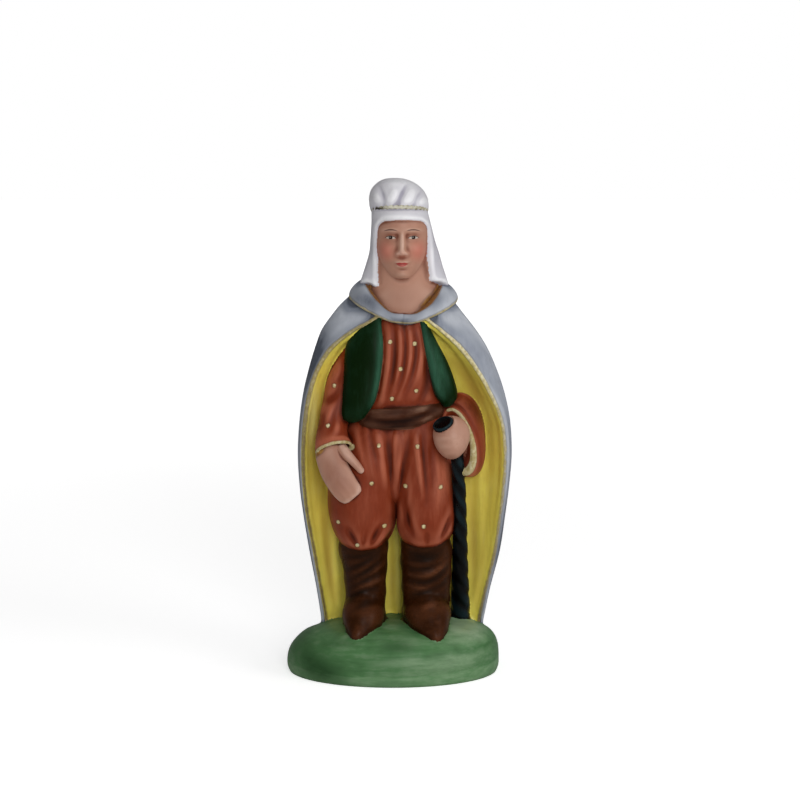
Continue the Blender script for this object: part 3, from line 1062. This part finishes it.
def brushFacts(mesh, average, places, look=washLook, dot=dotLook):
    normals = vectorsOf(mesh.vertex_normals, "vector")
    blurred = averaged(places, average, look["blurRounds"])
    hollow = averaged(np.einsum("ij,ij->i", normals, blurred - places), average, look["evenRounds"])
    broad = averaged(hollow, average, look["broadRounds"])
    hollow = hollow - look["broadShare"] * broad  # so that folds count, and not a form's own roundness
    x, y, z = places.T
    dots = np.min([np.hypot(x - dotX, z - dotZ) for dotX, dotZ in dotPlaces], axis=0) - dot["radius"]
    paints = np.zeros(len(places), int)
    for polygon in mesh.polygons:
        for v in polygon.vertices:
            paints[v] = polygon.material_index
    facing = smoothStep(-normals[:, 1], *look["facing"])
    washes = [(name, strokes, 1) for name, strokes in washStrokes.items()]
    washes += [(name, *folds) for name, folds in foldWash.items()]
    wash = np.zeros(len(places))
    for name, strokes, strength in washes:
        wash += strength * strokeRelief(x, z, strokes) * facing * (paints == paintSlot[name])
    gilt, dull = nearLines(places, giltLines)
    return {"hollow": hollow * look["hollowScale"], "gilt": gilt, "dull": dull,
            "dots": np.where(y < dot["frontY"], dots, dot["farAway"]), "wash": average(wash)}


facts = brushFacts(clay, average, places)
for name, values in facts.items():
    clay.attributes.new(name, "FLOAT", "POINT").data.foreach_set("value", values.astype(np.float32))
places[:, 2] += soleHeight
places *= mm
cadMiddle, ownMiddle = (cadBox[0] + cadBox[1]) / 2, (places.min(axis=0) + places.max(axis=0)) / 2
places[:, :2] += np.array(cadMiddle)[:2] - ownMiddle[:2]
clay.vertices.foreach_set("co", places.ravel())
clay.shade_smooth()
clay.update()
clay.name = "santonFigure"
santonFigure = bpy.data.objects.new("santonFigure", clay)
bpy.context.scene.collection.objects.link(santonFigure)
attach(santonFigure, "root")
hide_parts("santon_figure")
print("painted clay figure placed")


# Nodes

def colour(red, green, blue):
    # a colour as a painter's chart gives it, from 0 to 255
    parts = [c / 255 for c in (red, green, blue)]
    return (*[c / 12.92 if c <= 0.04045 else ((c + 0.055) / 1.055) ** 2.4 for c in parts], 1)


def add(tree, kind, values=None, **settings):
    node = tree.nodes.new(kind)
    for key, value in settings.items():
        setattr(node, key, value)
    for key, value in (values or {}).items():
        if isinstance(value, bpy.types.NodeSocket):
            tree.links.new(value, node.inputs[key])
        else:
            node.inputs[key].default_value = value
    return node


def calc(tree, operation, *values, clamp=False):
    node = add(tree, "ShaderNodeMath", dict(enumerate(values)), operation=operation, use_clamp=clamp)
    return node.outputs[0]


def plus(tree, a, b, clamp=False):
    return calc(tree, "ADD", a, b, clamp=clamp)


def minus(tree, a, b, clamp=False):
    return calc(tree, "SUBTRACT", a, b, clamp=clamp)


def times(tree, a, b, clamp=False):
    return calc(tree, "MULTIPLY", a, b, clamp=clamp)


def mixed(tree, share, a, b):
    return add(tree, "ShaderNodeMix", {0: share, 6: a, 7: b}, data_type="RGBA").outputs[2]


def ranged(tree, value, low, high, toLow=0.0, toHigh=1.0):
    return add(tree, "ShaderNodeMapRange", {0: value, 1: low, 2: high, 3: toLow, 4: toHigh},
               interpolation_type="SMOOTHSTEP").outputs[0]


def noise(tree, vector, scale, detail=3.0, roughness=0.55):
    return add(tree, "ShaderNodeTexNoise", {"Vector": vector, "Scale": scale, "Detail": detail,
                                            "Roughness": roughness}).outputs[0]


def stretched(tree, vector, scale):
    return add(tree, "ShaderNodeVectorMath", {0: vector, 1: scale}, operation="MULTIPLY").outputs[0]


def millimetres(tree):
    where = add(tree, "ShaderNodeTexCoord").outputs["Object"]
    return stretched(tree, where, (1 / mm, 1 / mm, 1 / mm))


def fact(tree, name):
    return add(tree, "ShaderNodeAttribute", attribute_name=name).outputs["Fac"]


socketKinds = {"colour": "NodeSocketColor", "value": "NodeSocketFloat", "vector": "NodeSocketVector"}


def newGroup(name, inputs, outputs):
    tree = bpy.data.node_groups.new(name, "ShaderNodeTree")
    for label, kind, default in inputs:
        socket = tree.interface.new_socket(label, in_out="INPUT", socket_type=socketKinds[kind])
        socket.default_value = default
    for label, kind in outputs:
        tree.interface.new_socket(label, in_out="OUTPUT", socket_type=socketKinds[kind])
    return tree, tree.nodes.new("NodeGroupInput").outputs


def putOut(tree, values):
    out = tree.nodes.new("NodeGroupOutput").inputs
    for label, value in values.items():
        tree.links.new(value, out[label])
    return tree


def place(tree, group, values):
    return add(tree, "ShaderNodeGroup", values, node_tree=group).outputs


# Paint laid in strokes: darker in the hollows, rubbed lighter on the rises, streaked by the bristles.
# Patches and grain are so many to a mm, and bristles are so many times finer than the stroke.

brushLook = {"bristles": 3.6, "patchScale": 0.16, "grainScale": 5.5, "uneven": 0.35,
             "hollows": (0.02, 0.95), "rises": (0.02, 0.9), "contrast": 2.2, "patchSheen": 0.22,
             "bristleSheen": 0.2, "hollowDullness": 0.12, "bristleHeight": 0.6, "grainHeight": 0.25}


def brushworkGroup(look=brushLook):
    tree, given = newGroup(
        "brushwork",
        [("Paint", "colour", (0.5, 0.5, 0.5, 1)), ("Shade", "colour", (0.1, 0.1, 0.1, 1)),
         ("Light", "colour", (0.8, 0.8, 0.8, 1)), ("Direction", "vector", (1, 1, 0.2)),
         ("Stroke Width", "value", 0.8), ("Streaks", "value", 0.3), ("Shading", "value", 1.0),
         ("Roughness", "value", 0.5)],
        [("Colour", "colour"), ("Roughness", "value"), ("Height", "value")])
    spot = millimetres(tree)
    along = stretched(tree, spot, given["Direction"])
    size = calc(tree, "DIVIDE", 1.0, given["Stroke Width"])
    streak = noise(tree, along, size, 4.0, 0.6)
    bristle = noise(tree, along, times(tree, size, look["bristles"]), 3.0, 0.65)
    patch = noise(tree, spot, look["patchScale"], 3.0, 0.55)
    grain = noise(tree, spot, look["grainScale"], 2.0, 0.6)
    streakSwing, patchSwing, bristleSwing = (minus(tree, value, 0.5) for value in (streak, patch, bristle))
    cavity = plus(tree, fact(tree, "hollow"), times(tree, streakSwing, look["uneven"]))
    wash = fact(tree, "wash")
    darker, lighter = calc(tree, "MAXIMUM", times(tree, wash, -1.0), 0.0), calc(tree, "MAXIMUM", wash, 0.0)
    dark = times(tree, darker, plus(tree, 0.55, streak), clamp=True)
    lit = times(tree, lighter, plus(tree, 0.5, bristle), clamp=True)
    depth = times(tree, ranged(tree, cavity, *look["hollows"]), given["Shading"], clamp=True)
    depth = calc(tree, "MAXIMUM", depth, dark)
    rise = times(tree, ranged(tree, times(tree, cavity, -1.0), *look["rises"]), given["Shading"], clamp=True)
    rise = times(tree, rise, minus(tree, 1.0, dark))
    rise = times(tree, calc(tree, "MAXIMUM", rise, lit), plus(tree, 0.45, streak), clamp=True)
    swing = times(tree, plus(tree, streakSwing, patchSwing), given["Streaks"])
    paint = mixed(tree, times(tree, swing, look["contrast"], clamp=True), given["Paint"], given["Light"])
    paint = mixed(tree, times(tree, swing, -look["contrast"], clamp=True), paint, given["Shade"])
    paint = mixed(tree, depth, paint, given["Shade"])
    paint = mixed(tree, rise, paint, given["Light"])
    sheen = plus(tree, times(tree, patchSwing, look["patchSheen"]),
                 times(tree, bristleSwing, look["bristleSheen"]))
    dulled = plus(tree, sheen, times(tree, depth, look["hollowDullness"]))
    height = plus(tree, times(tree, bristle, look["bristleHeight"]), times(tree, grain, look["grainHeight"]))
    return putOut(tree, {"Colour": paint, "Roughness": plus(tree, given["Roughness"], dulled, clamp=True),
                         "Height": height})


# A line or dot of gold-cream paint, a little broken, laid over what lies under it, with a soft dark edge.

giltLook = {"edgeScale": 0.6, "thinScale": 2.4, "toneScale": 1.1, "edge": (0.12, -0.14),
            "cover": (0.62, 0.38), "rimAway": 0.1, "rimReach": 0.3, "rimStrength": 0.35,
            "rim": (0.06, 0.035, 0.015, 1), "thickness": 0.8, "polish": -0.06}


def gildingGroup(look=giltLook):
    tree, given = newGroup(
        "gilding",
        [("Under", "colour", (0.5, 0.5, 0.5, 1)), ("Away", "value", 1.0),
         ("Gold", "colour", (0.6, 0.5, 0.2, 1)), ("Pale", "colour", (0.8, 0.75, 0.5, 1)),
         ("Worn", "colour", (0.2, 0.15, 0.05, 1)), ("Brown", "colour", (0.22, 0.09, 0.02, 1)),
         ("Dullness", "value", 0.0), ("Wobble", "value", 0.3), ("Height", "value", 0.0),
         ("Roughness", "value", 0.5)],
        [("Colour", "colour"), ("Height", "value"), ("Roughness", "value")])
    spot = millimetres(tree)
    edge = minus(tree, noise(tree, spot, look["edgeScale"], 4.0, 0.55), 0.5)
    away = plus(tree, given["Away"], times(tree, edge, given["Wobble"]))
    mask = ranged(tree, away, *look["edge"])
    thin = ranged(tree, noise(tree, spot, look["thinScale"], 4.0, 0.7), 0.3, 0.46)
    tone = ranged(tree, noise(tree, spot, look["toneScale"], 4.0, 0.6), 0.3, 0.7)
    gold = mixed(tree, tone, given["Gold"], given["Pale"])
    gold = mixed(tree, calc(tree, "MINIMUM", given["Dullness"], 1.0), gold, given["Worn"])
    gold = mixed(tree, minus(tree, given["Dullness"], 1.0, clamp=True), gold, given["Brown"])
    fromRim = calc(tree, "ABSOLUTE", minus(tree, away, look["rimAway"]))
    rim = times(tree, ranged(tree, fromRim, look["rimReach"], 0.0), look["rimStrength"])
    under = mixed(tree, rim, given["Under"], look["rim"])
    least, more = look["cover"]
    cover = times(tree, mask, plus(tree, least, times(tree, thin, more)))
    return putOut(tree, {"Colour": mixed(tree, cover, under, gold),
                         "Height": plus(tree, given["Height"], times(tree, mask, look["thickness"])),
                         "Roughness": plus(tree, given["Roughness"], times(tree, mask, look["polish"]))})


brushwork, gilding = brushworkGroup(), gildingGroup()
bumpDepth = 0.00006  # metres between the lowest and highest of the paint's relief


def finish(tree, top, depth=1.0, specular=0.25):
    shader = add(tree, "ShaderNodeBsdfPrincipled", {"Base Color": top["Colour"],
                                                    "Roughness": top["Roughness"],
                                                    "Specular IOR Level": specular})
    relief = add(tree, "ShaderNodeBump", {"Height": top["Height"], "Strength": 1.0,
                                          "Distance": bumpDepth * depth})
    tree.links.new(relief.outputs[0], shader.inputs["Normal"])
    tree.links.new(shader.outputs[0], add(tree, "ShaderNodeOutputMaterial").inputs[0])


def tones(paint, shade, light):
    return {"Paint": colour(*paint), "Shade": colour(*shade), "Light": colour(*light)}


paintLooks = {
    "moundPaint": {**tones((86, 131, 82), (36, 72, 34), (150, 176, 140)), "Direction": (0.14, 0.5, 1.0),
                   "Stroke Width": 1.0, "Streaks": 0.6, "Shading": 0.2, "Roughness": 0.46},
    "capePaint": {**tones((146, 152, 165), (86, 92, 104), (190, 194, 202)), "Direction": (1.0, 1.0, 0.16),
                  "Stroke Width": 1.1, "Streaks": 0.4, "Shading": 1.0, "Roughness": 0.48},
    "liningPaint": {**tones((244, 227, 96), (190, 154, 62), (252, 242, 140)), "Direction": (1.0, 1.0, 0.12),
                    "Stroke Width": 1.0, "Streaks": 0.4, "Shading": 0.1, "Roughness": 0.46},
    "clothPaint": {**tones((130, 51, 25), (76, 24, 8), (180, 99, 72)), "Direction": (1.0, 1.0, 0.2),
                   "Stroke Width": 0.8, "Streaks": 0.3, "Shading": 1.0, "Roughness": 0.4},
    "waistcoatPaint": {**tones((7, 29, 3), (3, 14, 2), (50, 92, 70)), "Direction": (1.0, 1.0, 0.15),
                       "Stroke Width": 0.8, "Streaks": 0.15, "Shading": 0.12, "Roughness": 0.38},
    "sashPaint": {**tones((70, 33, 15), (32, 12, 5), (126, 92, 74)), "Direction": (0.25, 1.0, 1.4),
                  "Stroke Width": 0.6, "Streaks": 0.4, "Shading": 0.35, "Roughness": 0.4},
    "skinPaint": {**tones((186, 137, 115), (122, 72, 54), (212, 172, 152)), "Direction": (0.8, 0.8, 0.5),
                  "Stroke Width": 1.2, "Streaks": 0.18, "Shading": 1.2, "Roughness": 0.42},
    "linenPaint": {**tones((224, 222, 228), (172, 168, 182), (250, 249, 252)), "Direction": (1.0, 1.0, 0.3),
                   "Stroke Width": 1.0, "Streaks": 0.2, "Shading": 1.2, "Roughness": 0.38},
    "cordPaint": {**tones((180, 172, 142), (40, 34, 18), (224, 220, 200)), "Direction": (1.0, 1.0, 1.0),
                  "Stroke Width": 0.5, "Streaks": 2.4, "Shading": 1.0, "Roughness": 0.5},
    "bootPaint": {**tones((52, 24, 5), (18, 7, 1), (106, 62, 38)), "Direction": (0.5, 0.7, 0.9),
                  "Stroke Width": 0.9, "Streaks": 0.3, "Shading": 0.35, "Roughness": 0.3},
    "staffPaint": {**tones((3, 4, 5), (1, 1, 1), (25, 43, 48)), "Direction": (1.0, 1.0, 0.6),
                   "Stroke Width": 0.5, "Streaks": 0.1, "Shading": 1.0, "Roughness": 0.26},
}


def paintTree(name):
    material = bpy.data.materials[name]
    material.use_nodes = True
    material.node_tree.nodes.clear()
    return material.node_tree


gloss = {"moundPaint": 0.2, "capePaint": 0.25, "liningPaint": 0.25, "clothPaint": 0.13,
         "waistcoatPaint": 0.06, "sashPaint": 0.07, "linenPaint": 0.3, "cordPaint": 0.3, "bootPaint": 0.08,
         "staffPaint": 0.12}
goldLook = {"Gold": colour(192, 174, 112), "Pale": colour(236, 226, 184), "Worn": colour(122, 106, 66)}
giltWobble = {"capePaint": 0.5, "liningPaint": 0.5, "clothPaint": 0.35}  # the paints with gold edges


def gilded(tree, under, values):
    return place(tree, gilding, {"Under": under["Colour"], "Height": under["Height"],
                                 "Roughness": under["Roughness"], **values})


def paintMaterial(name):
    tree = paintTree(name)
    top = place(tree, brushwork, paintLooks[name])
    if name in giltWobble:
        away, dull = fact(tree, "gilt"), fact(tree, "dull")
        if name == "clothPaint":  # gold dots too, which are never dull
            dots = fact(tree, "dots")
            away = calc(tree, "MINIMUM", away, dots)
            dull = times(tree, dull, ranged(tree, dots, 0.1, 0.5))
        top = gilded(tree, top, {"Away": away, "Dullness": dull, "Wobble": giltWobble[name], **goldLook})
    finish(tree, top, specular=gloss[name])


for name in gloss:
    paintMaterial(name)


# The painted face: brows, eyes, lips and a blush, in a brush's few strokes.

faceColours = {"brow": colour(92, 58, 44), "lash": colour(46, 26, 20), "eyeWhite": colour(204, 190, 178),
               "iris": colour(36, 20, 14), "glint": colour(236, 230, 224), "lip": colour(172, 40, 40),
               "blush": colour(206, 104, 86), "fold": colour(150, 92, 72), "mouthLine": colour(110, 36, 34),
               "neckGold": colour(132, 86, 38), "paleNeckGold": colour(168, 122, 60)}
faceShape = {"halfEye": 1.25, "upperLid": 0.46, "lowerLid": 0.28, "iris": 0.46, "lidFold": (1.7, 0.82),
             "browHeight": 1.95, "browHalf": 1.65, "browArch": 0.62, "browThickness": 0.17, "mouth": -6.1,
             "halfMouth": 1.6, "upperLip": 0.46, "lowerLip": 0.6, "cupidsBow": -0.12, "front": (-3.0, -4.5),
             "chin": (-9.5, -8.5)}


def skinMaterial(look=faceLook, shape=faceShape, tint=faceColours):
    tree = paintTree("skinPaint")
    brushed = place(tree, brushwork, paintLooks["skinPaint"])
    x, y, z = add(tree, "ShaderNodeSeparateXYZ", {0: millimetres(tree)}).outputs
    across = minus(tree, x, look["middle"] + (cadMiddle[0] - ownMiddle[0]) / mm)
    up = minus(tree, z, look["eyeLine"] + soleHeight)
    far = calc(tree, "ABSOLUTE", across)
    aside = minus(tree, far, look["eyeSpread"])
    fromEye = calc(tree, "ABSOLUTE", aside)
    inFace = times(tree, ranged(tree, y, *shape["front"]), ranged(tree, up, *shape["chin"]))

    def square(value, half):
        scaled = calc(tree, "DIVIDE", value, half)
        return times(tree, scaled, scaled)

    def arch(value, half, height):
        # a curve of the given height at the middle that reaches 0 at half the width
        return times(tree, minus(tree, 1.0, square(value, half)), height)

    def between(low, value, high, soft):
        return times(tree, ranged(tree, minus(tree, value, low), -soft, soft),
                     ranged(tree, minus(tree, high, value), -soft, soft))

    def drawn(curve, below, above, reach, ends, soft=0.05):
        # a fine line along a curve, from so far below it to so far above, that fades out towards its ends
        band = between(minus(tree, curve, below), up, plus(tree, curve, above), soft)
        return times(tree, band, ranged(tree, reach, *ends))

    def spot(value, height, halfX, halfZ, soft, at=0.0):
        reach = calc(tree, "SQRT", plus(tree, square(minus(tree, value, at), halfX),
                                        square(minus(tree, up, height), halfZ)))
        return ranged(tree, reach, 1 + soft, 1 - soft)

    upper = arch(aside, shape["halfEye"], shape["upperLid"])
    lower = arch(aside, shape["halfEye"], -shape["lowerLid"])
    opened = between(lower, up, upper, 0.05)
    iris = spot(aside, 0.08, shape["iris"], shape["iris"], 0.14)
    lidFold = arch(aside, *shape["lidFold"])
    brow = plus(tree, arch(plus(tree, aside, 0.15), shape["browHalf"] * 1.35, shape["browArch"]),
                shape["browHeight"] - shape["browArch"])
    browHalf = times(tree, minus(tree, 1.0, square(aside, shape["browHalf"] * 1.05)), shape["browThickness"])
    mouth = plus(tree, times(tree, square(across, 1.0), 0.03), shape["mouth"])
    bow = times(tree, spot(across, shape["mouth"] + 0.45, 0.3, 0.4, 0.9), shape["cupidsBow"])
    lipTop = plus(tree, plus(tree, mouth, arch(across, shape["halfMouth"], shape["upperLip"])), bow)
    lipFoot = minus(tree, mouth, arch(across, shape["halfMouth"] * 0.86, shape["lowerLip"]))
    layers = [
        (spot(far, -3.1, 1.7, 1.9, 0.95, 3.9), "blush", 0.55),  # cheeks
        (spot(across, -3.9, 1.0, 0.9, 0.9), "blush", 0.2),  # nose
        (spot(far, -4.2, 0.22, 0.14, 0.5, 0.5), "fold", 0.6),  # nostrils
        (spot(aside, 0.1, 1.7, 1.0, 0.7), "fold", 0.3),  # round the eyes
        (opened, "eyeWhite", 1.0),
        (times(tree, iris, opened), "iris", 1.0),
        (drawn(upper, 0.07, 0.09, fromEye, (1.42, 1.22)), "lash", 1.0),
        (drawn(lower, 0.06, 0.02, fromEye, (1.25, 0.9)), "fold", 0.7),
        (drawn(lidFold, 0.06, 0.06, fromEye, (1.5, 1.0)), "fold", 0.6),
        (spot(across, 0.2, 0.09, 0.09, 0.4, look["eyeSpread"] - 0.12), "glint", 0.9),
        (spot(across, 0.2, 0.09, 0.09, 0.4, -look["eyeSpread"] - 0.12), "glint", 0.9),
        (drawn(brow, browHalf, browHalf, fromEye, (1.72, 1.5)), "brow", 0.9),
        (between(mouth, up, lipTop, 0.07), "lip", 0.9),
        (between(lipFoot, up, mouth, 0.07), "lip", 0.75),
        (drawn(mouth, 0.05, 0.05, far, (1.6, 1.35), 0.04), "mouthLine", 0.8),
    ]
    paint = brushed["Colour"]
    for mask, tone, strength in layers:
        cover = times(tree, times(tree, mask, inFace), strength, clamp=True)
        paint = mixed(tree, cover, paint, tint[tone])
    under = {"Colour": paint, "Height": brushed["Height"], "Roughness": brushed["Roughness"]}
    finish(tree, gilded(tree, under, {"Away": fact(tree, "gilt"), "Gold": tint["neckGold"],
                                      "Pale": tint["paleNeckGold"], "Wobble": 0.5}), 0.6)


skinMaterial()
print("paints mixed")


# Studio: pale floor, soft lights, and the camera

studioLook = {
    "floor": colour(250, 250, 250), "floorHalf": 3.0, "floorRoughness": 0.8, "floorGlow": (0.62, 1.05),
    "glowReach": (0.08, 0.9), "world": colour(255, 255, 255), "worldStrength": 0.22,
    "lights": [("keyLight", (0.16, -0.85, 0.34), 0.4, 2.7), ("sideLight", (0.7, -0.42, 0.34), 0.4, 1.3),
               ("fillLight", (-0.4, -0.8, 0.2), 0.5, 0.2), ("topLight", (0.15, -0.1, 0.8), 0.4, 0.6)],
    "aim": (0, 0, 0.06),
}  # each light has a name, place, size and power
cameraLook = {"place": (0.0003, -0.480, 0.133), "downDegrees": 7.8695, "lens": 90.226, "sensor": 36.0,
              "clip": 0.01}


def seenByCamera(tree):
    return add(tree, "ShaderNodeLightPath").outputs["Is Camera Ray"]


def setWorld(look=studioLook):
    # the backdrop shows white, and lights softly
    world = bpy.data.worlds.new("studioWorld")
    bpy.context.scene.world = world
    world.use_nodes = True
    tree = world.node_tree
    tree.nodes.clear()
    strength = ranged(tree, seenByCamera(tree), 0.0, 1.0, look["worldStrength"], 1.0)
    back = add(tree, "ShaderNodeBackground", {"Color": look["world"], "Strength": strength})
    tree.links.new(back.outputs[0], add(tree, "ShaderNodeOutputWorld").inputs[0])


def setFloor(look=studioLook):
    # a pale floor that glows a little, more so further out, where only the camera sees it
    mesh = bpy.data.meshes.new("floor")
    half = look["floorHalf"]
    corners = [(-half, -half, 0), (half, -half, 0), (half, half, 0), (-half, half, 0)]
    mesh.from_pydata(corners, [], [(0, 1, 2, 3)])
    floor = bpy.data.objects.new("floor", mesh)
    bpy.context.scene.collection.objects.link(floor)
    material = bpy.data.materials.new("paleFloor")
    material.use_nodes = True
    tree = material.node_tree
    shader = tree.nodes["Principled BSDF"].inputs
    shader["Base Color"].default_value = look["floor"]
    shader["Emission Color"].default_value = look["floor"]
    shader["Roughness"].default_value = look["floorRoughness"]
    where = add(tree, "ShaderNodeTexCoord").outputs["Object"]
    reach = add(tree, "ShaderNodeVectorMath", {0: where}, operation="LENGTH").outputs["Value"]
    glow = ranged(tree, reach, *look["glowReach"], *look["floorGlow"])
    tree.links.new(times(tree, seenByCamera(tree), glow), shader["Emission Strength"])
    mesh.materials.append(material)


def setLights(look=studioLook):
    aim = Vector(look["aim"])
    for name, spot, size, power in look["lights"]:
        light = bpy.data.lights.new(name, "AREA")
        light.shape, light.size, light.energy = "DISK", size, power
        lamp = bpy.data.objects.new(name, light)
        lamp.location = spot
        lamp.rotation_euler = (aim - Vector(spot)).to_track_quat("-Z", "Y").to_euler()
        bpy.context.scene.collection.objects.link(lamp)


def setCamera(view=cameraLook):
    camera = bpy.data.cameras.new("camera")
    camera.lens, camera.sensor_width, camera.clip_start = view["lens"], view["sensor"], view["clip"]
    eye = bpy.data.objects.new("camera", camera)
    eye.location = view["place"]
    eye.rotation_euler = (math.radians(90 - view["downDegrees"]), 0, 0)
    bpy.context.scene.collection.objects.link(eye)
    bpy.context.scene.camera = eye


bpy.context.scene.view_settings.view_transform = "Standard"
setWorld()
setFloor()
setLights()
setCamera()
print("studio set")
